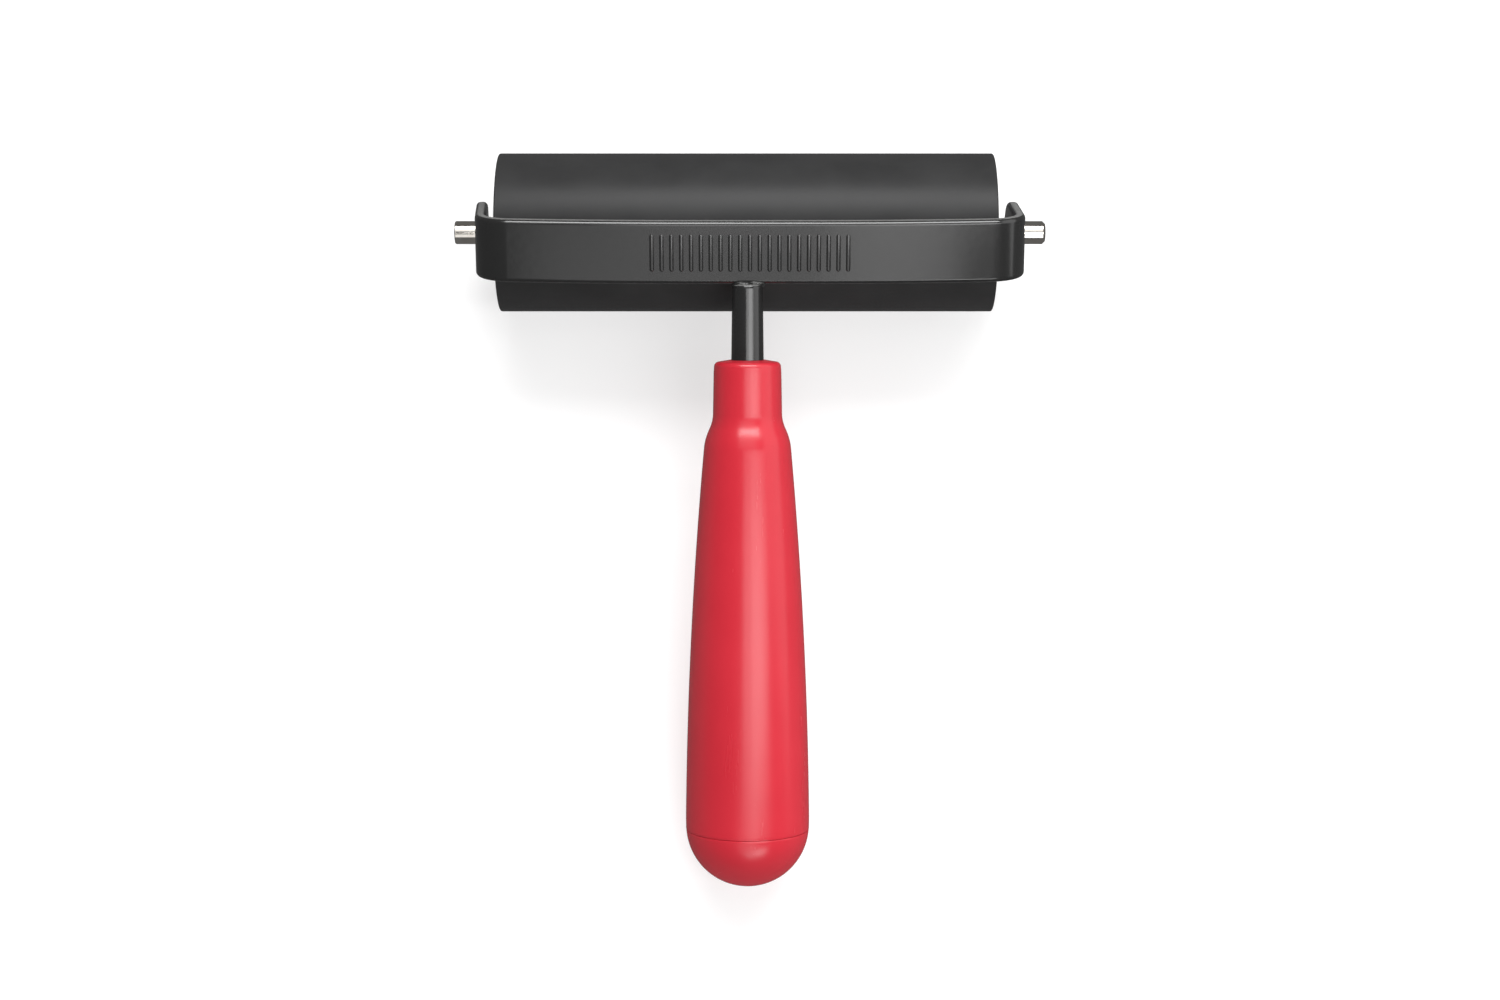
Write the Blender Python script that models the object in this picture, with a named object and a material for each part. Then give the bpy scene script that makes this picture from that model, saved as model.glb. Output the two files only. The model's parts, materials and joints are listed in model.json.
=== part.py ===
"""Rubber brayer: a roller in a bent steel strap, on a stem with a moulded plastic handle.

Metres, +Z up. +X runs along the roller, +Y from the handle's butt to the roller. The brayer
stands on the roller and on the butt, and the origin is under the middle of its bounding box.
"""

import math

import bmesh
import bpy
from mathutils import Matrix, Vector

MM = 0.001

# Roller: a rubber sleeve on a steel tube, with a hub and a flanged bush in each end.
ROLLER_LENGTH = 101.6 * MM
ROLLER_RADIUS = 16.25 * MM
ROLLER_OFFSET = -0.8 * MM  # its place between the arms, along X
SLEEVE_BORE = 11.2 * MM
SLEEVE_EDGE = 0.25 * MM
TUBE_WALL = 1.5 * MM
HUB_DEPTH = 12.0 * MM
HUB_RIM = 1.4 * MM  # thickness of the rim that covers the tube's end
HUB_DISH = 0.9 * MM
HUB_LAND = 1.2 * MM  # flat width of the rim
HUB_BOSS = 6.4 * MM  # radius of the flat round the bush
BUSH_RADIUS = 4.2 * MM
BUSH_FLANGE = 6.0 * MM  # radius, at the bush's inner end
BUSH_FLANGE_THICKNESS = 1.0 * MM
BUSH_STANDS_PROUD = 0.4 * MM  # of the hub's inner end
BUSH_SET_BACK = 0.1 * MM  # from the hub's face

# Axle, and the washers and rings that keep the roller in its place on it.
AXLE_RADIUS = 2.38 * MM
AXLE_LENGTH = 121.9 * MM
AXLE_CHAMFER = 0.4 * MM
RUNNING_FIT = 0.08 * MM
WASHER_RADIUS = 6.4 * MM
WASHER_THICKNESS = 0.8 * MM
END_FLOAT = 0.25 * MM  # between a bush's flange and its thrust washer
RING_RADIUS = 5.4 * MM
RING_THICKNESS = 0.5 * MM
RING_SLOTS = 6
RING_SLOT_REACH = 1.8 * MM  # outwards from the axle's surface
RING_SLOT_LENGTH = 2.4 * MM
RING_SLOT_WIDTH = 0.7 * MM

# Strap: 12.7 mm wide steel bent to a U over the roller, its arms leaning back to the handle.
STRAP_WIDTH = 12.7 * MM
STRAP_THICKNESS = 2.38 * MM
STRAP_EDGE = 0.85 * MM
STRAP_HALF_SPAN = 55.45 * MM  # outside, at the corners
STRAP_RISE = 22.0 * MM  # from the axle to the middle of the bridge's thickness
STRAP_FLAT_HALF = 12.0 * MM
STRAP_ARCH_ANGLE = math.radians(6.3)
STRAP_CORNER_RADIUS = 8.0 * MM  # outside
ARM_SPLAY = {-1: math.radians(4.3), 1: 0.0}  # outwards, at the left and right arm
STRAP_LEAN = math.radians(21.8)

# Stem and handle. Stations are distances along the handle's axis from the strap's lower edge.
STEM_START = 0.5 * MM
STEM_RADIUS_AT_STRAP = 3.08 * MM
STEM_RADIUS = 3.25 * MM
STEM_END = 62.0 * MM
KNURL_START = 42.0 * MM
KNURL_END = 58.0 * MM
KNURL_HEIGHT = 0.14 * MM
KNURL_RUN_OUT = 0.4 * MM
STEM_CHAMFER = 1.0 * MM
STEM_OFFSET = -0.5 * MM  # along X
WELD_RADIUS = 3.9 * MM
WELD_LENGTH = 1.5 * MM
WELD_TOE = 0.2 * MM
HANDLE_START = 15.6 * MM
COLLAR_RADIUS = 6.7 * MM
COLLAR_DRAFT = 0.0175
COLLAR_FILLET = 1.3 * MM
SHOULDER_START = 25.7 * MM
SHOULDER_TURN = 28.5 * MM  # where the shoulder's hollow side meets its rounded side
SHOULDER_END = 33.0 * MM
BARREL_RADIUS_AT_SHOULDER = 8.71 * MM
BARREL_BULGE = 0.77 * MM
BUTT_RADIUS = 12.5 * MM
BUTT_CENTRE = 109.7 * MM
SEAM = 110.4 * MM
WALL = 2.6 * MM
CAVITY_START = 36.0 * MM
SOCKET_BORE = 3.55 * MM
SOCKET_RADIUS = 5.2 * MM
SOCKET_END = 68.0 * MM
RIB_END = 62.0 * MM
RIB_COUNT = 4
RIB_THICKNESS = 1.5 * MM
RIB_SINK = 0.8 * MM  # into the shell's front wall
SPIGOT_BORE = 10.3 * MM
SPIGOT_DEPTH = 7.0 * MM
SPIGOT_WALL = 2.0 * MM
SPIGOT_CLEARANCE = 0.4 * MM  # to the ledge in the shell
CAP_WALL = 2.6 * MM

GAP = 0.1 * MM  # between pieces that touch
ROUND = 48  # facets round a large piece
SLEEVE_ROUND = 96
SMALL_ROUND = 32
KNURL_RIDGES = 18
ARCH_STEPS = 5
CORNER_STEPS = 12
TIP_STEPS = 12
STRAP_EDGE_SEGMENTS = 4
KNURL_STEPS = 2
WELD_STEPS = 3
FILLET_STEPS = 4
SHOULDER_STEPS = 7
BARREL_STEPS = 8
CAVITY_STEPS = 3
DOME_STEPS = 10
INNER_DOME_STEPS = 4
SHARP_ANGLE = math.radians(35)  # between faces, over which an edge is shaded sharp
ROUNDED_ANGLE = math.radians(60)  # between faces, over which the strap's edge is rounded

# Where the pieces stand, worked out from the sizes above.
STRAP_EDGE_Y = -STRAP_RISE * math.sin(STRAP_LEAN) - STRAP_WIDTH / 2 * math.cos(STRAP_LEAN)
STRAP_EDGE_Z = (
    ROLLER_RADIUS
    + STRAP_RISE * math.cos(STRAP_LEAN)
    - STRAP_WIDTH / 2 * math.sin(STRAP_LEAN)
)
HANDLE_TILT = math.asin((STRAP_EDGE_Z - BUTT_RADIUS) / BUTT_CENTRE)
REACH_BACK = -STRAP_EDGE_Y + BUTT_CENTRE * math.cos(HANDLE_TILT) + BUTT_RADIUS
AXLE_Y = (REACH_BACK - ROLLER_RADIUS) / 2


def clear_scene():
    for found in list(bpy.data.objects):
        bpy.data.objects.remove(found, do_unlink=True)


def make_material(name, colour, roughness, metallic=0.0):
    made = bpy.data.materials.new(name)
    made.use_nodes = True
    shader = made.node_tree.nodes["Principled BSDF"]
    shader.inputs["Base Color"].default_value = (*colour, 1.0)
    shader.inputs["Roughness"].default_value = roughness
    shader.inputs["Metallic"].default_value = metallic
    return made


def make_empty(name, location, turn_about_x=0.0):
    """A frame of reference that pieces are parented to."""
    made = bpy.data.objects.new(name, None)
    made.location = location
    made.rotation_euler = (turn_about_x, 0.0, 0.0)
    bpy.context.collection.objects.link(made)
    return made


def add_piece(name, shape, material, parent, along_x=False, shift=0.0):
    """The bmesh as an object. along_x lays its Z axis along the parent's X, shifted along it."""
    bmesh.ops.recalc_face_normals(shape, faces=shape.faces)
    mesh = bpy.data.meshes.new(name)
    shape.to_mesh(mesh)
    shape.free()
    mesh.shade_smooth()
    mesh.set_sharp_from_angle(angle=SHARP_ANGLE)
    made = bpy.data.objects.new(name, mesh)
    if material:
        made.data.materials.append(material)
    made.parent = parent
    if along_x:
        made.rotation_euler = (0.0, math.pi / 2, 0.0)
    made.location = (shift, 0.0, 0.0)
    bpy.context.collection.objects.link(made)
    return made


def as_cutter(piece):
    piece.hide_render = True
    piece.display_type = "WIRE"
    return piece


def boolean(piece, other, operation):
    modifier = piece.modifiers.new(operation.title(), "BOOLEAN")
    modifier.operation = operation
    modifier.solver = "EXACT"
    modifier.object = other


def arc(centre, radius, start, end, steps):
    """Points (along, out) on an arc. Angles are in degrees, from the direction along."""
    points = []
    for step in range(steps + 1):
        angle = math.radians(start + (end - start) * step / steps)
        points.append((centre[0] + radius * math.cos(angle), centre[1] + radius * math.sin(angle)))
    return points


def between(start, end, steps):
    return [start + (end - start) * step / steps for step in range(steps + 1)]


def turned(outline, facets):
    """A turned solid round Z from an outline of (along, out). One that meets Z twice stays open there."""
    shape = bmesh.new()
    corners = [shape.verts.new((out, 0.0, along)) for along, out in outline]
    for first, second in zip(corners, corners[1:]):
        shape.edges.new((first, second))
    if outline[0][1] > 0.0:
        shape.edges.new((corners[-1], corners[0]))
    bmesh.ops.spin(
        shape,
        geom=shape.verts[:] + shape.edges[:],
        cent=(0.0, 0.0, 0.0),
        axis=(0.0, 0.0, 1.0),
        angle=math.tau,
        steps=facets,
        use_merge=True,
    )
    bmesh.ops.remove_doubles(shape, verts=shape.verts, dist=1e-7)
    return shape


# Roller


def make_sleeve(material, parent):
    half = ROLLER_LENGTH / 2
    outline = [
        (-half, SLEEVE_BORE),
        (-half, ROLLER_RADIUS - SLEEVE_EDGE),
        (-half + SLEEVE_EDGE, ROLLER_RADIUS),
        (half - SLEEVE_EDGE, ROLLER_RADIUS),
        (half, ROLLER_RADIUS - SLEEVE_EDGE),
        (half, SLEEVE_BORE),
    ]
    add_piece("rubber_cover", turned(outline, SLEEVE_ROUND), material, parent, along_x=True)


def tube_bore():
    return SLEEVE_BORE - GAP - TUBE_WALL


def make_tube(material, parent):
    half = ROLLER_LENGTH / 2 - HUB_RIM - GAP
    outer = SLEEVE_BORE - GAP
    outline = [(-half, tube_bore()), (-half, outer), (half, outer), (half, tube_bore())]
    add_piece("core_tube", turned(outline, ROUND), material, parent, along_x=True)


def make_hub(side, material, parent):
    """A plug in the tube's end. Its rim covers the tube, and its inner end seats the bush's flange."""
    face = ROLLER_LENGTH / 2
    inner_end = face - HUB_DEPTH
    rim = SLEEVE_BORE - GAP
    plug = tube_bore() - GAP
    bore = BUSH_RADIUS + GAP
    seat = BUSH_FLANGE + GAP
    seat_floor = inner_end + BUSH_FLANGE_THICKNESS + GAP - BUSH_STANDS_PROUD
    outline = [
        (inner_end, seat),
        (inner_end, plug),
        (face - HUB_RIM, plug),
        (face - HUB_RIM, rim),
        (face, rim),
        (face, rim - HUB_LAND),
        (face - HUB_DISH, rim - HUB_LAND - HUB_DISH),
        (face - HUB_DISH, HUB_BOSS + HUB_DISH),
        (face, HUB_BOSS),
        (face, bore),
        (seat_floor, bore),
        (seat_floor, seat),
    ]
    name = {-1: "core_hub_left", 1: "core_hub_right"}[side]
    outline = [(side * along, out) for along, out in outline]
    add_piece(name, turned(outline, ROUND), material, parent, along_x=True)


def bush_inner_end():
    return ROLLER_LENGTH / 2 - HUB_DEPTH - BUSH_STANDS_PROUD


def make_bush(side, material, parent):
    outer_end = ROLLER_LENGTH / 2 - BUSH_SET_BACK
    flange_end = bush_inner_end() + BUSH_FLANGE_THICKNESS
    bore = AXLE_RADIUS + RUNNING_FIT
    outline = [
        (bush_inner_end(), bore),
        (bush_inner_end(), BUSH_FLANGE),
        (flange_end, BUSH_FLANGE),
        (flange_end, BUSH_RADIUS),
        (outer_end, BUSH_RADIUS),
        (outer_end, bore),
    ]
    name = {-1: "bearing_bush_left", 1: "bearing_bush_right"}[side]
    outline = [(side * along, out) for along, out in outline]
    add_piece(name, turned(outline, SMALL_ROUND), material, parent, along_x=True)


# Axle


def make_axle(material, parent):
    half = AXLE_LENGTH / 2
    tip = AXLE_RADIUS - AXLE_CHAMFER
    outline = [
        (-half, 0.0),
        (-half, tip),
        (-half + AXLE_CHAMFER, AXLE_RADIUS),
        (half - AXLE_CHAMFER, AXLE_RADIUS),
        (half, tip),
        (half, 0.0),
    ]
    add_piece("axle", turned(outline, SMALL_ROUND), material, parent, along_x=True)


def make_washer(side, material, parent):
    """A thrust washer inside the tube, next to a bush's flange."""
    outer = bush_inner_end() - END_FLOAT
    inner = outer - WASHER_THICKNESS
    bore = AXLE_RADIUS + 2 * RUNNING_FIT
    outline = [(inner, bore), (inner, WASHER_RADIUS), (outer, WASHER_RADIUS), (outer, bore)]
    outline = [(side * along, out) for along, out in outline]
    name = {-1: "thrust_washer_left", 1: "thrust_washer_right"}[side]
    add_piece(name, turned(outline, SMALL_ROUND), material, parent, along_x=True)


def make_ring(side, material, parent):
    """A push-on ring that grips the axle behind a thrust washer, with slots between its teeth."""
    outer = bush_inner_end() - END_FLOAT - WASHER_THICKNESS - GAP
    inner = outer - RING_THICKNESS
    bore = AXLE_RADIUS + RUNNING_FIT
    outline = [(inner, bore), (inner, RING_RADIUS), (outer, RING_RADIUS), (outer, bore)]
    outline = [(side * along, out) for along, out in outline]
    name = {-1: "retaining_ring_left", 1: "retaining_ring_right"}[side]
    ring = add_piece(name, turned(outline, SMALL_ROUND), material, parent, along_x=True)
    slots = bmesh.new()
    slot_size = (RING_SLOT_LENGTH, RING_SLOT_WIDTH, 4 * RING_THICKNESS)
    slot_middle = AXLE_RADIUS + RING_SLOT_REACH - RING_SLOT_LENGTH / 2
    for index in range(RING_SLOTS):
        angle = math.tau * index / RING_SLOTS
        made = bmesh.ops.create_cube(slots, size=1.0)["verts"]
        bmesh.ops.scale(slots, verts=made, vec=slot_size)
        bmesh.ops.translate(slots, verts=made, vec=(slot_middle, 0.0, side * outer))
        bmesh.ops.rotate(slots, verts=made, cent=(0.0, 0.0, 0.0), matrix=Matrix.Rotation(angle, 3, "Z"))
    cutter = add_piece(name + "_slots", slots, None, parent, along_x=True)
    boolean(ring, as_cutter(cutter), "DIFFERENCE")


# Strap


def corner_mid_radius():
    return STRAP_CORNER_RADIUS - STRAP_THICKNESS / 2


def arch_end():
    """Where the bridge's shallow arch meets the corner bend, from the middle."""
    side = STRAP_HALF_SPAN - STRAP_THICKNESS / 2
    return side - corner_mid_radius() * (1 - math.sin(STRAP_ARCH_ANGLE))


def arch_drop():
    return (arch_end() - STRAP_FLAT_HALF) * math.tan(STRAP_ARCH_ANGLE / 2)


def half_path(side):
    """(point, outward normal) along the middle of the strap's thickness, in the plane of the U."""
    path = [((STRAP_FLAT_HALF, STRAP_RISE), 0.0)]
    arch_radius = (arch_end() - STRAP_FLAT_HALF) / math.sin(STRAP_ARCH_ANGLE)
    for step in range(1, ARCH_STEPS + 1):
        angle = STRAP_ARCH_ANGLE * step / ARCH_STEPS
        x = STRAP_FLAT_HALF + arch_radius * math.sin(angle)
        path.append(((x, STRAP_RISE - arch_radius * (1 - math.cos(angle))), angle))
    last = math.pi / 2 - ARM_SPLAY[side]
    centre_x = arch_end() - corner_mid_radius() * math.sin(STRAP_ARCH_ANGLE)
    centre_z = STRAP_RISE - arch_drop() - corner_mid_radius() * math.cos(STRAP_ARCH_ANGLE)
    for step in range(1, CORNER_STEPS + 1):
        angle = STRAP_ARCH_ANGLE + (last - STRAP_ARCH_ANGLE) * step / CORNER_STEPS
        x = centre_x + corner_mid_radius() * math.sin(angle)
        path.append(((x, centre_z + corner_mid_radius() * math.cos(angle)), angle))
    stations = []
    for (x, z), angle in path:
        normal = Vector((side * math.sin(angle), 0.0, math.cos(angle)))
        stations.append((Vector((side * x, 0.0, z)), normal))
    return stations


def section_at(shape, point, normal):
    """The strap's four corners at a station: inner and outer, at each edge."""
    across = Vector((0.0, STRAP_WIDTH / 2, 0.0))
    half = normal * STRAP_THICKNESS / 2
    places = (point - half - across, point - half + across, point + half + across, point + half - across)
    return [shape.verts.new(place) for place in places]


def add_arm_tip(shape, section, point, normal, side):
    """The straight arm below a corner bend, with a half-round end about the axle."""
    down = Vector((side * normal.z, 0.0, -abs(normal.x)))
    length = point.z / -down.z
    rims = []
    for surface in (-0.5, 0.5):
        centre = point + down * length + normal * STRAP_THICKNESS * surface
        rim = []
        for step in range(TIP_STEPS + 1):
            angle = math.pi * step / TIP_STEPS
            across = Vector((0.0, -math.cos(angle), 0.0))
            rim.append(shape.verts.new(centre + (across + down * math.sin(angle)) * STRAP_WIDTH / 2))
        rims.append(rim)
    inner, outer = rims
    shape.faces.new([section[1], section[0]] + inner)
    shape.faces.new([section[2], section[3]] + outer)
    chain_inner = [section[0]] + inner + [section[1]]
    chain_outer = [section[3]] + outer + [section[2]]
    for a, b, c, d in zip(chain_inner, chain_inner[1:], chain_outer[1:], chain_outer):
        shape.faces.new((a, b, c, d))


def make_strap(material, parent):
    shape = bmesh.new()
    left = half_path(-1)
    right = half_path(1)
    stations = left[::-1] + right
    sections = [section_at(shape, point, normal) for point, normal in stations]
    for before, after in zip(sections, sections[1:]):
        for index in range(4):
            following = (index + 1) % 4
            shape.faces.new((before[index], before[following], after[following], after[index]))
    add_arm_tip(shape, sections[0], *left[-1], -1)
    add_arm_tip(shape, sections[-1], *right[-1], 1)
    bmesh.ops.recalc_face_normals(shape, faces=shape.faces)
    long_edges = [edge for edge in shape.edges if edge.calc_face_angle() > ROUNDED_ANGLE]
    bmesh.ops.bevel(
        shape,
        geom=long_edges,
        offset=STRAP_EDGE,
        segments=STRAP_EDGE_SEGMENTS,
        profile=0.5,
        affect="EDGES",
    )
    strap = add_piece("frame_strap", shape, material, parent)
    hole = AXLE_RADIUS + RUNNING_FIT
    outline = [(-AXLE_LENGTH, 0.0), (-AXLE_LENGTH, hole), (AXLE_LENGTH, hole), (AXLE_LENGTH, 0.0)]
    drill = add_piece("axle_drill", turned(outline, SMALL_ROUND), None, parent, along_x=True)
    boolean(strap, as_cutter(drill), "DIFFERENCE")


# Stem


def make_stem(material, parent):
    """A rod that starts at the strap's lower edge. Its far part is knurled to grip the handle."""
    outline = [
        (STEM_START, 0.0),
        (STEM_START, STEM_RADIUS_AT_STRAP),
        (HANDLE_START, STEM_RADIUS),
        (KNURL_START - KNURL_RUN_OUT, STEM_RADIUS),
    ]
    outline += [(along, STEM_RADIUS) for along in between(KNURL_START, KNURL_END, KNURL_STEPS)]
    outline += [
        (KNURL_END + KNURL_RUN_OUT, STEM_RADIUS),
        (STEM_END - STEM_CHAMFER, STEM_RADIUS),
        (STEM_END, STEM_RADIUS - STEM_CHAMFER),
        (STEM_END, 0.0),
    ]
    shape = turned(outline, 2 * KNURL_RIDGES)
    for corner in shape.verts:
        along = corner.co.z
        if KNURL_START - KNURL_RUN_OUT / 2 < along < KNURL_END + KNURL_RUN_OUT / 2:
            angle = math.atan2(corner.co.y, corner.co.x)
            ridge = KNURL_HEIGHT * math.cos(KNURL_RIDGES * angle)
            corner.co.xy *= 1 + ridge / STEM_RADIUS
    add_piece("stem", shape, material, parent)


def make_weld(material, parent):
    """The bead of weld metal round the stem's foot, against the strap's lower edge."""
    inner = STEM_RADIUS_AT_STRAP + GAP
    outline = [(STEM_START, inner)]
    for part in between(0.0, 1.0, WELD_STEPS):
        out = WELD_RADIUS - (WELD_RADIUS - inner - WELD_TOE) * part * part
        outline.append((STEM_START + WELD_LENGTH * part, out))
    outline.append((STEM_START + WELD_LENGTH, inner))
    add_piece("stem_weld", turned(outline, SMALL_ROUND), material, parent)


# Handle


def barrel_radius(along):
    """The barrel's outside: a straight taper from shoulder to butt, bulged between them."""
    part = (along - SHOULDER_END) / (BUTT_CENTRE - SHOULDER_END)
    straight = BARREL_RADIUS_AT_SHOULDER + (BUTT_RADIUS - BARREL_RADIUS_AT_SHOULDER) * part
    return straight + 4 * BARREL_BULGE * part * (1 - part)


def shoulder_radius(along):
    """The shoulder: a hollow parabola that leaves the collar, then a rounded one that joins the barrel."""
    collar = COLLAR_RADIUS + COLLAR_DRAFT * (SHOULDER_START - HANDLE_START)
    rise = BARREL_RADIUS_AT_SHOULDER - collar
    barrel_length = BUTT_CENTRE - SHOULDER_END
    end_slope = (BUTT_RADIUS - BARREL_RADIUS_AT_SHOULDER + 4 * BARREL_BULGE) / barrel_length
    hollow = SHOULDER_TURN - SHOULDER_START
    rounded = SHOULDER_END - SHOULDER_TURN
    turn_slope = (2 * rise - COLLAR_DRAFT * hollow - end_slope * rounded) / (hollow + rounded)
    if along < SHOULDER_TURN:
        past = along - SHOULDER_START
        bend = (turn_slope - COLLAR_DRAFT) / (2 * hollow)
        return collar + COLLAR_DRAFT * past + bend * past * past
    left = SHOULDER_END - along
    bend = (turn_slope - end_slope) / (2 * rounded)
    return BARREL_RADIUS_AT_SHOULDER - end_slope * left - bend * left * left


def make_handle_body(material, parent):
    """A shell that is open at the butt, with a ribbed socket for the stem inside."""
    fillet_centre = (HANDLE_START + COLLAR_FILLET, COLLAR_RADIUS - COLLAR_FILLET)
    opening = SEAM - GAP / 2
    ledge = SEAM - SPIGOT_DEPTH
    shoulder = between(SHOULDER_START, SHOULDER_END, SHOULDER_STEPS)
    barrel = between(SHOULDER_END, BUTT_CENTRE, BARREL_STEPS)[1:]
    cavity = between(ledge, CAVITY_START, CAVITY_STEPS)
    outline = [(HANDLE_START, SOCKET_BORE)]
    outline += arc(fillet_centre, COLLAR_FILLET, 180, 90, FILLET_STEPS)
    outline += [(along, shoulder_radius(along)) for along in shoulder]
    outline += [(along, barrel_radius(along)) for along in barrel]
    outline += [(opening, BUTT_RADIUS), (opening, SPIGOT_BORE), (ledge, SPIGOT_BORE)]
    outline += [(along, barrel_radius(along) - WALL) for along in cavity]
    outline += [(CAVITY_START, SOCKET_RADIUS), (SOCKET_END, SOCKET_RADIUS), (SOCKET_END, SOCKET_BORE)]
    body = add_piece("handle_body", turned(outline, ROUND), material, parent)
    for index in range(RIB_COUNT):
        boolean(body, as_cutter(make_rib(index, parent)), "UNION")


def make_rib(index, parent):
    """A rib between the socket and the shell. Its ends reach into both, for the union."""
    front = CAVITY_START - RIB_SINK
    inside = (SOCKET_BORE + SOCKET_RADIUS) / 2
    outline = [
        (front, inside),
        (RIB_END, inside),
        (RIB_END, barrel_radius(RIB_END) - WALL / 2),
        (front, barrel_radius(front) - WALL / 2),
    ]
    turn = math.tau * (index + 0.5) / RIB_COUNT
    out_way = Vector((math.cos(turn), math.sin(turn), 0.0))
    side_way = Vector((-out_way.y, out_way.x, 0.0)) * RIB_THICKNESS / 2
    shape = bmesh.new()
    sheets = []
    for sign in (-1, 1):
        places = [out_way * out + Vector((0.0, 0.0, along)) + side_way * sign for along, out in outline]
        sheets.append([shape.verts.new(place) for place in places])
    shape.faces.new(sheets[0])
    shape.faces.new(sheets[1][::-1])
    for corner in range(4):
        following = (corner + 1) % 4
        shape.faces.new((sheets[0][corner], sheets[0][following], sheets[1][following], sheets[1][corner]))
    return add_piece(f"socket_rib_{index + 1}", shape, None, parent)


def make_butt_cap(material, parent):
    """The domed cap that closes the butt, with a hollow spigot inside the shell."""
    rim = SEAM + GAP / 2
    spigot = SPIGOT_BORE - GAP
    spigot_end = SEAM - SPIGOT_DEPTH + SPIGOT_CLEARANCE
    hollow = spigot - SPIGOT_WALL
    inner_dome = BUTT_RADIUS - CAP_WALL
    centre = (BUTT_CENTRE, 0.0)
    rim_angle = math.degrees(math.acos((rim - BUTT_CENTRE) / BUTT_RADIUS))
    hollow_angle = math.degrees(math.asin(hollow / inner_dome))
    outline = arc(centre, BUTT_RADIUS, 0, rim_angle, DOME_STEPS)
    outline += [(rim, spigot), (spigot_end, spigot), (spigot_end, hollow)]
    outline += arc(centre, inner_dome, hollow_angle, 0, INNER_DOME_STEPS)
    outline[0] = (outline[0][0], 0.0)
    outline[-1] = (outline[-1][0], 0.0)
    add_piece("butt_cap", turned(outline, ROUND), material, parent)


def main():
    clear_scene()
    rubber = make_material("black_rubber", (0.035, 0.035, 0.036), 0.6)
    tube_steel = make_material("tube_steel", (0.42, 0.42, 0.43), 0.4, 1.0)
    hub_plastic = make_material("hub_plastic", (0.06, 0.06, 0.065), 0.5)
    bronze = make_material("bush_bronze", (0.55, 0.38, 0.2), 0.35, 1.0)
    nickel = make_material("nickel_plate", (0.8, 0.76, 0.7), 0.15, 1.0)
    nylon = make_material("nylon", (0.75, 0.73, 0.68), 0.45)
    spring_steel = make_material("spring_steel", (0.3, 0.31, 0.33), 0.35, 1.0)
    enamel = make_material("black_enamel", (0.02, 0.02, 0.02), 0.3)
    red_plastic = make_material("red_plastic", (0.66, 0.03, 0.06), 0.3)

    axle_centre = make_empty("axle_centre", (0.0, AXLE_Y, ROLLER_RADIUS))
    roller_axis = make_empty("roller_axis", (ROLLER_OFFSET, AXLE_Y, ROLLER_RADIUS))
    strap_frame = make_empty("strap_frame", (0.0, AXLE_Y, ROLLER_RADIUS), STRAP_LEAN)
    handle_axis = make_empty(
        "handle_axis",
        (STEM_OFFSET, AXLE_Y + STRAP_EDGE_Y, STRAP_EDGE_Z),
        math.pi / 2 + HANDLE_TILT,
    )

    make_sleeve(rubber, roller_axis)
    make_tube(tube_steel, roller_axis)
    make_axle(nickel, axle_centre)
    for side in (-1, 1):
        make_hub(side, hub_plastic, roller_axis)
        make_bush(side, bronze, roller_axis)
        make_washer(side, nylon, roller_axis)
        make_ring(side, spring_steel, roller_axis)
    make_strap(enamel, strap_frame)
    make_stem(enamel, handle_axis)
    make_weld(enamel, handle_axis)
    make_handle_body(red_plastic, handle_axis)
    make_butt_cap(red_plastic, handle_axis)


main()
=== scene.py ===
import json
import math

import bmesh
import bpy
from mathutils import Matrix, Vector, noise


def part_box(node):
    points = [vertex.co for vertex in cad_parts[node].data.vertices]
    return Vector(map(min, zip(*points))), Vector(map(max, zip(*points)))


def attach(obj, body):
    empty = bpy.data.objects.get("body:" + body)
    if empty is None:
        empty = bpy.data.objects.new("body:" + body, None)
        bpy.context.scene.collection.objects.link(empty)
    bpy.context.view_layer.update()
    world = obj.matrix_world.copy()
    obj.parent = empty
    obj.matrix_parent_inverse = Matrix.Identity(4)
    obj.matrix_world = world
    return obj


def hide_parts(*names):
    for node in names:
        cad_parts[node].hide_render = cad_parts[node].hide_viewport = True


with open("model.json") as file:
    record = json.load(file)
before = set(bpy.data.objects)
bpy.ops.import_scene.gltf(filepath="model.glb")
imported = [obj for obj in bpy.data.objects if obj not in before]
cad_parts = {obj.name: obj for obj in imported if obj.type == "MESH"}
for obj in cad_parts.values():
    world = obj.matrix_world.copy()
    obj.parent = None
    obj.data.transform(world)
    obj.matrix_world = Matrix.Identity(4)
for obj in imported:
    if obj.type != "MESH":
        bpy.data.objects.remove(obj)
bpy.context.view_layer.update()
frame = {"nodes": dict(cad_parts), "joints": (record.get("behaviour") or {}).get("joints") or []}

MM = 0.001

SIDE_NAMES = {-1: "left", 1: "right"}

# How finely the round shapes are cut.
SLEEVE_FACETS = 256
HUB_FACETS = 144
ROD_FACETS = 128
DRILL_FACETS = 96
HANDLE_FACETS = 288
ROUNDING_STEPS = 4
FLAT_STEPS = 3
ARCH_STEPS = 16
BEND_STEPS = 32
TIP_STEPS = 40
BEVEL_SEGMENTS = 7
RIB_END_STEPS = 8
WELD_STEPS = 30
CROWN_CORNER_STEPS = 14
COLLAR_STEPS = 8
SHOULDER_STEPS = 36
BARREL_STEPS = 60
CAVITY_STEPS = 12
DOME_STEPS = 48
INNER_DOME_STEPS = 16

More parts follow.
